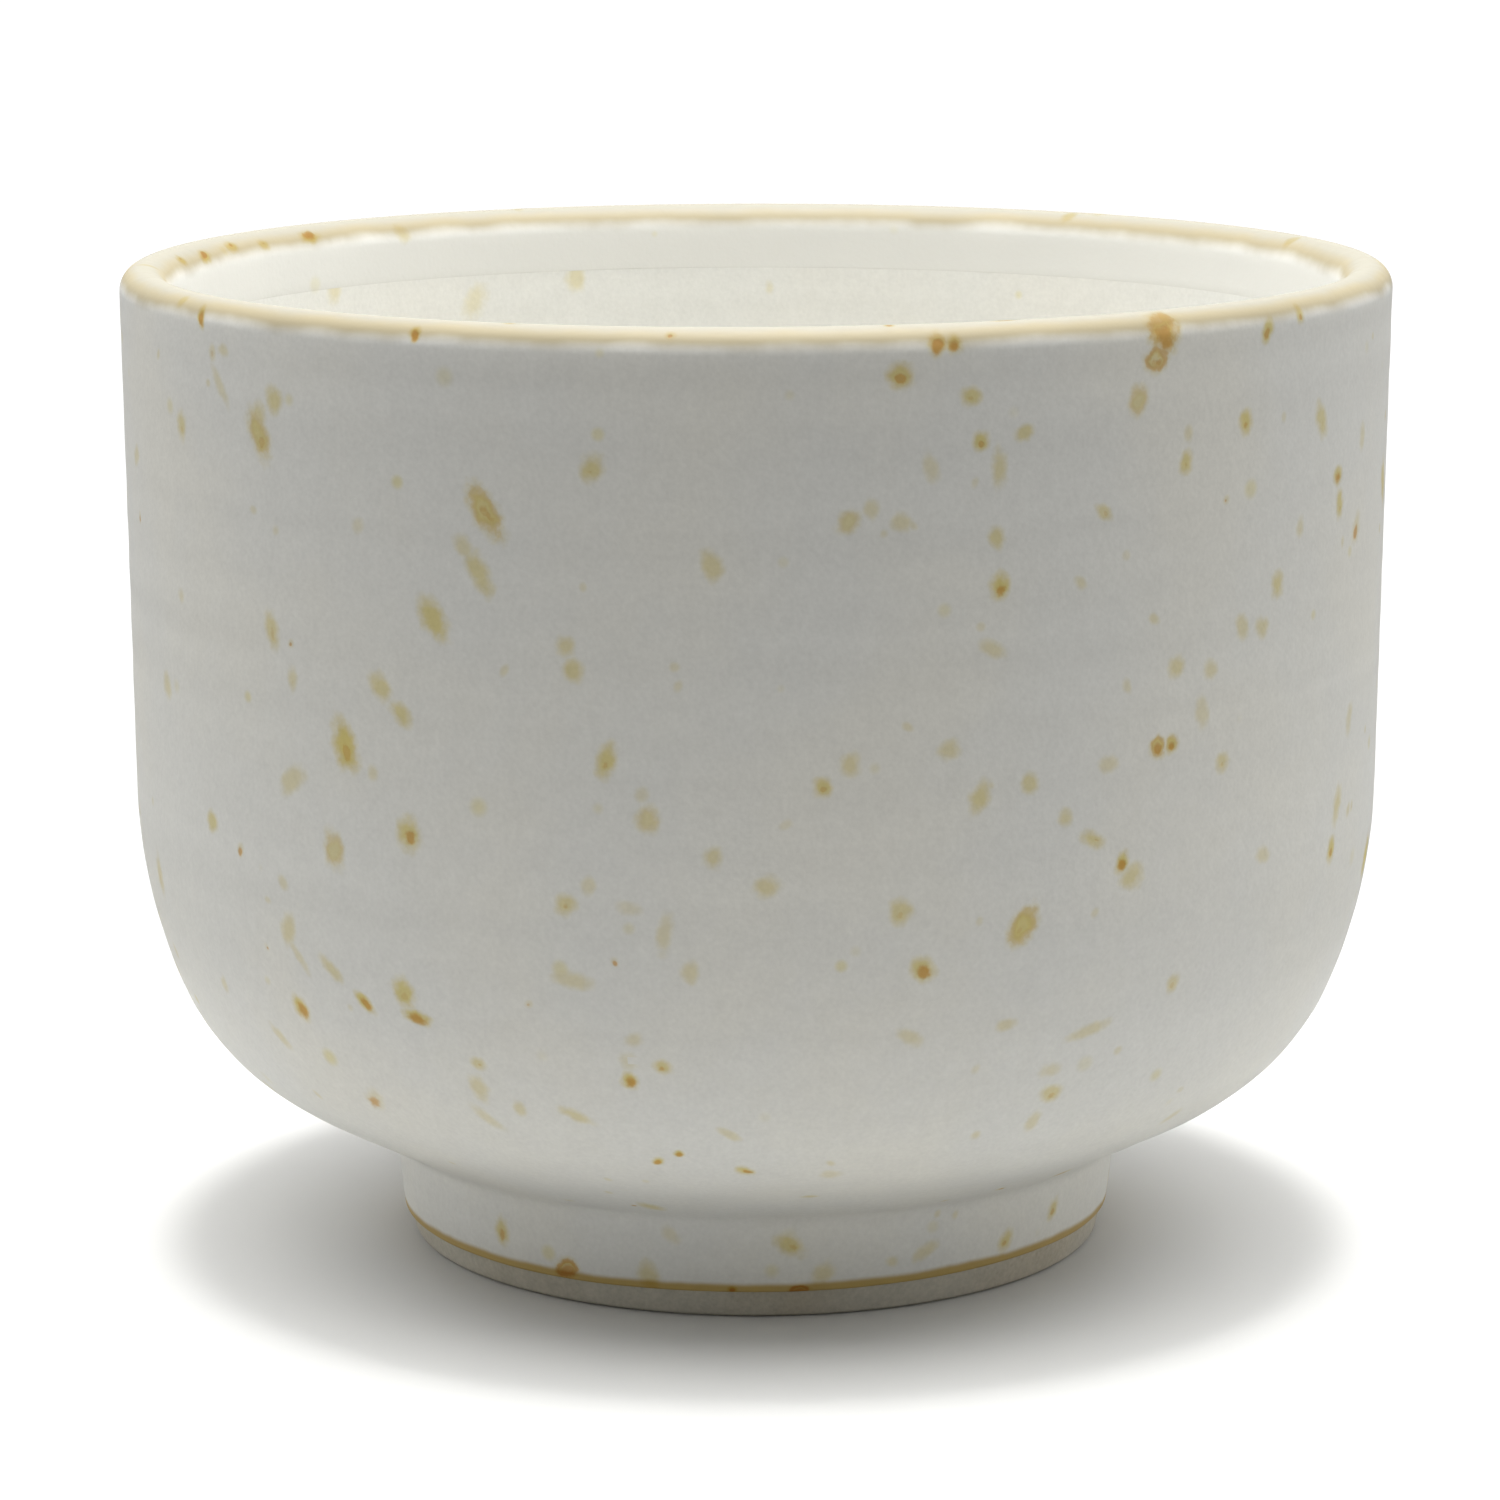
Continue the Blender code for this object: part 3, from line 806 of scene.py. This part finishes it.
# Marks that stand out: turn from the front, drop over the lip, width, length and lean, in degrees
# and millimetres; then how strong the yellow is, and the brown core and ring where there is one.
outerMarks = [
    # on the lip
    (-55, 2.8, 1.1, 2, -25, 1, 0.9),
    (-29, 2.3, 1.1, 1.3, 0, 1, 1),
    (-21, 0.2, 1.3, 0.7, 0, 0.7, 0.5),
    (-7, 1.5, 1, 0.9, 0, 0.7, 0.6),
    (11, 0.3, 0.9, 0.7, 0, 0.8, 0.7),
    (14.6, 2.5, 1.6, 2, 5, 0.9, 1, 0.2),
    (16.1, 2.6, 1.5, 1.7, 0, 0.9, 0.9),
    (21, -0.2, 2.4, 1, 0, 0.9, 0.9),
    (35.6, 2.5, 3.3, 3.4, 0, 1, 1, 0.5),
    (34.8, 4.8, 2.6, 2.2, -15, 0.9, 0.5, 0.7),
    (33, 8.1, 1.8, 2.4, 10, 0.75, 0, 0.2),
    (48, 3.4, 1.5, 2.2, 15, 0.9, 0.5),
    (53, 2.5, 1.2, 1.7, 0, 0.8, 0.5),
    (-98, -2.2, 2.2, 1.2, 10, 0.9, 0.4),
    (-105, -2.6, 2.6, 1.4, 0, 0.95, 0.7),
    (-112, -2.2, 2, 1.3, 0, 0.9, 0.5),
    (-118, -2.6, 1.8, 1.2, 0, 0.8, 0.2),
    (-126, -2.4, 2.6, 1.5, 0, 1, 1),
    # the left side
    (-59, 12.7, 1.8, 2.4, 0, 0.65, 0.2),
    (-53, 5.7, 1, 1.6, 0, 0.4, 0.2),
    (-52, 8.5, 1.2, 3.8, -38, 0.4),
    (-46.5, 12.1, 2.3, 4.6, -29, 0.9, 0.3, 0.2),
    (-35, 18.7, 1.2, 1.4, 0, 0.3),
    (-22.6, 16.7, 2.3, 4.9, -33, 0.95, 0.35, 0.3),
    (-24.6, 19.7, 1.5, 2.2, -30, 0.5),
    (-23.3, 21.7, 1.9, 4, -28, 0.7, 0.1),
    (-45.5, 28.7, 1.7, 3.2, -15, 0.65, 0.2),
    (-43, 32.7, 1.2, 2, 0, 0.5, 0.1),
    (-33, 32.2, 1.9, 2.6, -40, 0.7),
    (-31, 34.3, 1.6, 2.6, -44, 0.75, 0.1),
    (-37, 37.7, 2.6, 4.3, -18, 1, 0.35, 0.05),
    (-34, 39.7, 1.1, 1.4, 0, 0.4),
    (-30.4, 44.5, 2.4, 2.8, -10, 0.85, 0.55),
    (-38.5, 46.9, 2.2, 3.3, -15, 0.75, 0, 0.2),
    (-45, 50.7, 1.1, 1.6, -35, 0.4),
    (-32, 58.7, 2.2, 2.8, -10, 0.9, 0.2),
    (-31, 60.9, 2.8, 1.3, 10, 1, 1),
    (-40, 57.7, 1.3, 3, -48, 0.6),
    (-36.6, 60.3, 1.2, 2.4, -45, 1, 0.8),
    (-45.2, 62.3, 1.9, 2.3, -23, 1, 1),
    (-50, 66.2, 1.2, 2.8, -45, 0.45),
    (-44, 57.2, 0.9, 3.6, -36, 0.4),
    (-70, 54.7, 1.8, 4, 0, 0.5, 0.2),
    (-58, 62.7, 1.2, 1.7, 10, 0.4),
    (-25.5, 64.7, 1.2, 1.5, -50, 0.65, 0.3),
    (-26, 70.7, 1.2, 3.4, -41, 0.4),
    # the front
    (-13.4, 12.7, 2, 2.4, 20, 0.75, 0.2),
    (-15.8, 27.5, 1.7, 1.7, 0, 0.6),
    (-15.1, 29.5, 1.6, 2, -20, 0.7),
    (-12.4, 37, 1.7, 3.1, 15, 0.85, 0.3),
    (-9, 41.7, 2.1, 2.3, -20, 0.7, 0, 0.1),
    (-3.6, 20.5, 1.6, 2.6, -20, 0.6),
    (7.7, 37.1, 1.7, 2, 0, 0.6),
    (5.4, 38.9, 1.6, 1.7, 0, 0.85, 0.3),
    (-16, 49.3, 1.8, 1.9, 0, 0.7, 0.3),
    (-14, 47.6, 1.3, 1.5, 0, 0.4),
    (-3.6, 44.9, 1.5, 1.9, 8, 0.6),
    (0.8, 47.3, 2.2, 1.9, 0, 0.6),
    (12, 49.7, 2, 2.2, 0, 0.7, 0.2),
    (-15.6, 55.9, 3.2, 1.6, 5, 0.5),
    (-7.6, 51.3, 1.4, 3.4, 10, 0.45),
    (-5.5, 54.7, 1.5, 1.9, 0, 0.5),
    (14, 54.7, 1.9, 2.5, -38, 0.85, 0.7),
    (22.8, 51.7, 2.3, 3.7, 35, 1, 0.2, 0.3),
    (13.3, 61, 1.3, 2.4, -58, 0.45),
    (22, 60.5, 1.9, 1.2, -15, 0.5),
    (30.5, 62.1, 4.2, 1.2, -15, 0.5),
    (-11.2, 65.2, 1.5, 1.9, -30, 1, 1),
    (-8.2, 63.6, 1.7, 1.3, 20, 0.8, 0.5),
    (-16.8, 69.2, 1.2, 3.2, -62, 0.6),
    (-9.6, 74.7, 1, 1.3, 20, 1, 1),
    (-7.4, 73.4, 0.9, 1, 0, 1, 1),
    (-2.5, 70.7, 0.9, 2.4, -50, 0.45),
    (-1.1, 76, 1.3, 1.8, -42, 0.9, 0.7),
    (6.3, 83.7, 1.6, 1.1, 0, 0.6, 0.1),
    # the right side
    (7.4, 16.9, 1.8, 2.3, 40, 0.7, 0, 0.1),
    (9.3, 15.9, 1.4, 1.6, 0, 0.45),
    (11.8, 17.1, 1.8, 1.5, 0, 0.5),
    (11.6, 5, 2.3, 2.1, 0, 0.9, 0.5, 0.1),
    (14.2, 12.7, 1.3, 2.6, -20, 0.4),
    (17.4, 6.9, 1.9, 1.7, 20, 0.8, 0.2),
    (18.4, 10.6, 1.4, 1.6, 0, 0.9, 0.4),
    (22.2, 10.1, 1.8, 1.3, -20, 0.7),
    (20, 12.9, 1.4, 3.4, 0, 0.6),
    (19.9, 18.7, 1.5, 1.9, -40, 0.7, 0.1),
    (20.2, 22.7, 1.8, 2.3, 0, 0.95, 0.6),
    (19.7, 27.9, 2.5, 1.3, 25, 0.5),
    (29.8, 17.2, 1.2, 1.8, -50, 0.65, 0.2),
    (38.3, 13.7, 1.4, 1.9, 14, 0.8, 0.2),
    (38.5, 11.3, 1.1, 1.3, 0, 0.4),
    (45.4, 10.9, 1.8, 2.3, 5, 0.9, 0.4),
    (57.2, 11.9, 1.9, 3.2, -25, 0.7, 0.1),
    (61, 17.3, 1.7, 1.7, 0, 0.9, 0.9),
    (61.6, 19.9, 1.6, 2.6, -10, 0.8, 0.3),
    (54, 20.9, 1.2, 1.8, 10, 0.4, 0.1),
    (67, 14.7, 1.5, 2.5, 0, 0.4),
    (50.6, 25.5, 1.8, 2.2, 5, 0.7, 0.2),
    (48.5, 28.9, 1.7, 2, -50, 0.55),
    (37.8, 31, 2, 1.8, -20, 0.6),
    (41.8, 31.7, 1.6, 1.7, 0, 0.5),
    (35.9, 37.7, 1.8, 1.8, 0, 1, 0.9, 0.5),
    (37.4, 37.6, 1.5, 1.6, 0, 1, 0.7, 0.2),
    (30.8, 38.6, 1.9, 1.4, 0, 0.45),
    (43.6, 39.9, 1.6, 1.8, 8, 0.65, 0.2),
    (66, 39.7, 1.5, 3, 15, 0.4),
    (16, 36.1, 1.9, 1.7, 0, 0.55),
    (23.2, 39.5, 1.6, 1.9, 0, 0.65),
    (26.6, 42.7, 1.3, 1.6, 0, 0.6, 0.1),
    (29.3, 44.8, 1.4, 2.5, -65, 0.75, 0.3),
    (32.4, 47.2, 1.4, 2, 15, 1, 0.9),
    (63.4, 47.1, 1.6, 3.4, 22, 0.6, 0.1),
    (62.4, 50.9, 1.6, 2.4, 10, 0.9, 0.5),
    (49.6, 49, 1.9, 1.6, 20, 0.45),
    (39.2, 58.9, 1.3, 1.9, 15, 0.6, 0.2),
    (27.3, 65.7, 1.9, 1.5, 0, 0.4),
    (28, 68.1, 2, 1.8, 0, 0.7, 0.3),
    (27, 71.3, 1.3, 2.4, 0, 0.45),
    (47.6, 75.2, 1.2, 2.6, 30, 0.35),
    # on the foot
    (5.1, 95.7, 1.9, 2.9, -60, 0.8, 0.3),
    (53.5, 96.3, 1.6, 2.2, 25, 0.75, 0.4),
    (-43, 97.1, 1.7, 2.6, 0, 0.8, 0.5),
    (26.8, 97.3, 1.3, 2.6, 60, 0.5),
    (21.2, 97.9, 1.2, 1.1, 0, 0.45),
    (42.3, 97.9, 1.6, 2.2, 30, 0.8, 0.4),
    (-30.4, 99.3, 2.6, 1.9, -15, 1, 1, 0.9),
    (6.8, 100, 1.8, 0.9, 0, 1, 1, 1),
    (-3.7, 99.9, 0.9, 0.6, 0, 1, 0.9),
]

# The inner coat, poured into the bowl
innerCoat = {
    "ground": (0.635, 0.632, 0.596),
    "cloud": (0.645, 0.635, 0.590),
    "grain": 0.14,
    "roughness": 0.44,
    "relief": 0.03 * mm,
    "ior": 1.47,
}
innerMarks = [
    (-160, -8.4, 2.2, 2.6, 0, 0.5),
    (-148, -10.4, 2.4, 3.6, 30, 0.4),
    (-147, -13.4, 1.8, 2.2, 20, 0.35),
    (-129, -8, 2, 2.4, 0, 0.45),
    (-131, -12, 1.8, 2.2, 0, 0.4),
]

# The coat brushed under the bowl, inside the ring
wellCoat = {
    "ground": (0.55, 0.53, 0.47),
    "cloud": (0.58, 0.54, 0.45),
    "grain": 0.2,
    "roughness": 0.5,
    "relief": 0.04 * mm,
    "ior": 1.47,
    "poolRadius": 1.5 * mm,  # glaze gathers in the corner under the bowl
    "wheel": {"Ring Depth": 0.06 * mm},
}

# Bare clay, seen on the toe of the foot ring
bareClay = {
    "ground": (0.44, 0.415, 0.345),
    "cloud": (0.40, 0.36, 0.28),
    "grain": 0.4,
    "roughness": 0.82,
    "relief": 0.08 * mm,
    "ior": 1.45,
    "ringWheel": {"Ring Depth": 0.02 * mm},
    "bowlWheel": {"Turn Steps": 144, "Ring Depth": 0.0},  # all of it lies under the glaze
}


def outerRows():
    skin = skinRows(outsideOutline().rows(), 1.0, startDrop=-crownDrop)
    back = turnedBack(outsideOutline(**hiddenSide).rows(glaze["thickness"]))
    end = skinRows(rolledEnd(skin), 0.0, startDrop=skin[-1, dropAt] + glaze["edge"] / 3)
    end[: len(end) // 2, skinAt] = 1.0  # the near half of the rolled edge shows
    start = skinRows(rolledEnd(back), 0.0, startDrop=-1.0)
    return np.vstack((skin, end, unseen(back), start, skin[:1]))


def innerRows():
    rows = insideOutline().rows()
    sunk = np.clip((rows[:, zAt] - rows[-1, zAt]) / glaze["lapSlope"] + 1, 0, 1)
    depth = glaze["lapStep"] * sunk
    rows[:, xAt] += depth * np.sin(rows[:, headingAt])
    rows[:, zAt] -= depth * np.cos(rows[:, headingAt])
    behind = Outline(*rows[-1], spacing=hiddenSide["spacing"]).line(glaze["underLap"]).rows()[1:]
    skin = skinRows(np.vstack((rows, behind)), 1.0)
    skin[:, dropAt] -= skin[len(rows) - 1, dropAt] + crownDrop + glaze["edge"]
    back = turnedBack(insideOutline(**hiddenSide).rows(glaze["thickness"]))
    end = skinRows(rolledEnd(skin), 0.0, startDrop=-1.0)
    return np.vstack((skin, end, unseen(back)))


def bodyRows():
    up = insideOutline(**hiddenSide).rows(glaze["seat"])
    down = outsideOutline(**hiddenSide).rows(glaze["seat"])[1:]
    down = down[down[:, zAt] > foot["joint"] + foot["jointMargin"]]
    rounding = foot["jointRounding"]
    side = (down[-1, zAt] - foot["joint"] - rounding) / math.cos(foot["draft"])
    corner = Outline(*down[-1], sharpest=15.0).line(side).arc(rounding, -math.pi)
    corner.spacing = hiddenSide["spacing"]
    corner.line(corner.points[-1][xAt])
    base = corner.rows()[1:]
    base[-1, xAt] = 0.0
    return skinRows(np.vstack((up, down, base)), 0.0)


def ringRows():
    top = foot["top"]
    toe = foot["glazeLine"] + glaze["edge"]
    tuck = toe + foot["tuck"]
    corners = (  # x, z and rounding
        (footSide(top, glaze["seat"]), top, foot["topRounding"]),
        (footSide(tuck, glaze["seat"]), tuck, foot["tuckRounding"]),
        (footSide(toe, foot["toeStep"]), toe, foot["stepRounding"]),
        (contactRadius, 0.0, foot["toeRounding"]),
        (contactRadius - foot["ringWidth"], 0.0, foot["toeRounding"]),
        (wellSide(top, 0.0), top, foot["topRounding"]),
    )
    places = np.array(corners)
    ahead = np.roll(places[:, :2], -1, axis=0) - places[:, :2]
    headings = np.unwrap(np.arctan2(ahead[:, 1], ahead[:, 0]))
    headings = np.append(headings, headings[0] - 2 * math.pi)
    turns = np.abs(np.diff(headings))  # at the corners from the second one on, then the first
    cuts = places[:, 2] * np.tan(np.roll(turns, 1) / 2)
    lengths = np.hypot(*ahead.T) - cuts - np.roll(cuts, -1)
    x, z = places[0, :2] + lineStep(cuts[0], headings[0])
    ring = Outline(x, z, headings[0], sharpest=12.0)
    for i, length in enumerate(lengths):
        ring.line(length)
        ring.arc(places[(i + 1) % len(places), 2], headings[i + 1])
    rows = skinRows(ring.rows(), 1.0)
    rows[-1, :2] = rows[0, :2]
    return rows


def wellRows():
    top = foot["top"]
    under = top - glaze["thickness"]
    lean = foot["ringDraft"]
    falling = lean - quarter
    rising = lean + quarter
    back = Outline(0.0, top, 0.0, spacing=hiddenSide["spacing"])
    back.line(wellSide(top, foot["wellGap"]))
    x, z, _ = back.points[-1]
    back.points.append((x, z, falling))
    back.line((top - foot["glazeLine"] - glaze["edge"]) / math.cos(lean))
    roll = rolledEnd(back.rows())
    pool = wellCoat["poolRadius"]
    tangent = pool * math.tan((math.pi - rising) / 2)
    start = Outline(*roll[-1, :2], rising)
    start.line((under - roll[-1, zAt]) / math.cos(lean) - tangent)
    start.arc(pool, math.pi)
    start.line(start.points[-1][xAt])
    skin = skinRows(start.rows(), 1.0)
    skin[-1, xAt] = 0.0
    return np.vstack((skinRows(np.vstack((back.rows(), roll[:-1])), 0.0, startDrop=-1.0), skin))


lipInner = bowl["wall"] - bowl["lipRadius"]
crownDrop = glaze["lap"] - glaze["edge"] + lipInner * (quarter - bowl["wallLean"])

rows = outerRows()
line = outerCoat["line"]
lineDrop = rows[rows[:, skinAt] > 0.5, dropAt].max()
line["fade"] = (lineDrop - line["width"], lineDrop - line["fullWidth"])
outer = turn("outerCoat", rows, glazeFinish("outer glaze", outerCoat), outerCoat["wheel"])
marks = Marks(outer, rows)
for mark in outerMarks:
    marks.add(*mark)
scatter(marks, count=90, seed=11, drops=(4.0, 99.0), turns=(-75.0, 75.0), largest=0.75)
scatter(marks, count=210, seed=12, drops=(-3.5, 99.5), turns=(75.0, 285.0))
marks.keep()

rows = innerRows()
inner = turn("innerCoat", rows, glazeFinish("inner glaze", innerCoat))
marks = Marks(inner, rows)
for mark in innerMarks:
    marks.add(*mark)
scatter(marks, count=230, seed=13, drops=(rows[0, dropAt] / mm, -8.0))
marks.keep()

rows = wellRows()
well = turn("wellCoat", rows, glazeFinish("well glaze", wellCoat), wellCoat["wheel"])
marks = Marks(well, rows)
scatter(marks, count=30, seed=14, drops=(1.0, rows[-1, dropAt] / mm))
marks.keep()

clay = clayFinish("bare stoneware", bareClay)
ring = turn("footRingClay", ringRows(), clay, bareClay["ringWheel"])
thrown = turn("thrownClay", bodyRows(), clay, bareClay["bowlWheel"])

for piece, node, slot in (
    (outer, "outer_glaze", "outer_glaze"),
    (inner, "inner_glaze", "inner_glaze"),
    (well, "well_glaze", "well_glaze"),
    (ring, "foot_ring", "bare_stoneware"),
    (thrown, "clay_body", "bare_stoneware"),
):
    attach(piece, body)
    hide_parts(node)
print("pieces ride on the frame")

# The table, the soft room light and the camera. A span says where in the room a light begins and
# where it is full, from -1 to 1 along its direction.
studio = {
    "tableRadius": 0.1,
    "tableLevel": -0.05 * mm,  # just under the foot, which isn't quite even
    "tableColour": (0.61, 0.61, 0.6),
    "overhead": 50.0,
    "overheadSpan": (0.982, 0.996),
    "tilt": math.radians(4.0),  # of the overhead light towards the back
    "slanting": 4.2,  # a softer zone round it
    "slantingSpan": (0.83, 0.89),
    "slantingDepth": (0.45, 0.0),  # it ends towards the back
    "slantingLift": 0.15,  # and reaches lower at the sides
    "front": 0.04,
    "behind": 0.9,
    "depthSpan": (-0.1, 0.4),
    "sides": 0.9,
    "sideSpan": (0.3, 0.95),
    "below": 0.44,
    "horizonSpan": (-0.02, 0.02),
    "backdrop": 1.1,
    "lampHeight": 0.22,
    "lampRadius": 0.05,
    "lampPower": 0.12,
    "camera": (-0.00054, -0.4672, 0.1377),
    "lookDown": 11.22,  # degrees
    "lens": 122.35,  # millimetres
}


def roundTable():
    mesh = bpy.data.meshes.new("table")
    build = bmesh.new()
    level = Matrix.Translation((0.0, 0.0, studio["tableLevel"]))
    radius = studio["tableRadius"]
    bmesh.ops.create_circle(build, cap_ends=True, segments=128, radius=radius, matrix=level)
    build.to_mesh(mesh)
    build.free()
    table = bpy.data.objects.new("table", mesh)
    bpy.context.scene.collection.objects.link(table)
    material = bpy.data.materials.new("table")
    material.use_nodes = True
    shader = material.node_tree.nodes["Principled BSDF"]
    shader.inputs["Base Color"].default_value = (*studio["tableColour"], 1.0)
    shader.inputs["Roughness"].default_value = 0.7
    mesh.materials.append(material)


def roomLight():
    world = bpy.data.worlds.new("room")
    bpy.context.scene.world = world
    world.use_nodes = True
    tree = world.node_tree
    tree.nodes.clear()
    where = place(tree, "ShaderNodeTexCoord").outputs["Generated"]
    direction = place(tree, "ShaderNodeSeparateXYZ", {0: where}).outputs
    high = calc(tree, "MULTIPLY", direction["Z"], math.cos(studio["tilt"]))
    toLamp = calc(tree, "MULTIPLY_ADD", direction["Y"], math.sin(studio["tilt"]), high)
    overhead = span(tree, toLamp, *studio["overheadSpan"], 0.0, studio["overhead"])
    acrossRoom = calc(tree, "ABSOLUTE", direction["X"])
    lifted = calc(tree, "MULTIPLY_ADD", acrossRoom, studio["slantingLift"], direction["Z"])
    slanting = span(tree, lifted, *studio["slantingSpan"])
    slanting = calc(tree, "MULTIPLY", slanting, span(tree, direction["Y"], *studio["slantingDepth"]))
    slanting = calc(tree, "MULTIPLY", slanting, studio["slanting"])
    around = span(tree, direction["Y"], *studio["depthSpan"], studio["front"], studio["behind"])
    aside = span(tree, acrossRoom, *studio["sideSpan"], 0.0, studio["sides"])
    above = calc(tree, "ADD", calc(tree, "ADD", overhead, slanting), calc(tree, "ADD", around, aside))
    risen = span(tree, direction["Z"], *studio["horizonSpan"])
    gained = calc(tree, "SUBTRACT", above, studio["below"])
    strength = calc(tree, "MULTIPLY_ADD", risen, gained, studio["below"])
    white = (1.0, 1.0, 1.0, 1.0)
    light = place(tree, "ShaderNodeBackground", {"Color": white, "Strength": strength})
    backdrop = place(tree, "ShaderNodeBackground", {"Color": white, "Strength": studio["backdrop"]})
    seen = place(tree, "ShaderNodeLightPath").outputs["Is Camera Ray"]
    mixed = place(tree, "ShaderNodeMixShader", {0: seen, 1: light.outputs[0], 2: backdrop.outputs[0]})
    place(tree, "ShaderNodeOutputWorld", {"Surface": mixed.outputs[0]})


def hangLamp():  # a small soft lamp right over the bowl reaches down inside it
    lamp = bpy.data.lights.new("lamp", "AREA")
    lamp.shape = "DISK"
    lamp.size = 2 * studio["lampRadius"]
    lamp.energy = studio["lampPower"]
    hung = bpy.data.objects.new("lamp", lamp)
    hung.location = (0.0, 0.0, studio["lampHeight"])
    hung.visible_camera = False
    bpy.context.scene.collection.objects.link(hung)


def placeCamera():
    lens = bpy.data.cameras.new("camera")
    lens.lens = studio["lens"]
    lens.sensor_width = 36.0
    lens.clip_end = 50.0
    camera = bpy.data.objects.new("camera", lens)
    camera.location = studio["camera"]
    camera.rotation_euler = (math.radians(90.0 - studio["lookDown"]), 0.0, 0.0)
    bpy.context.scene.collection.objects.link(camera)
    bpy.context.scene.camera = camera


roundTable()
roomLight()
hangLamp()
placeCamera()
bpy.context.scene.view_settings.view_transform = "Standard"
print("studio ready")
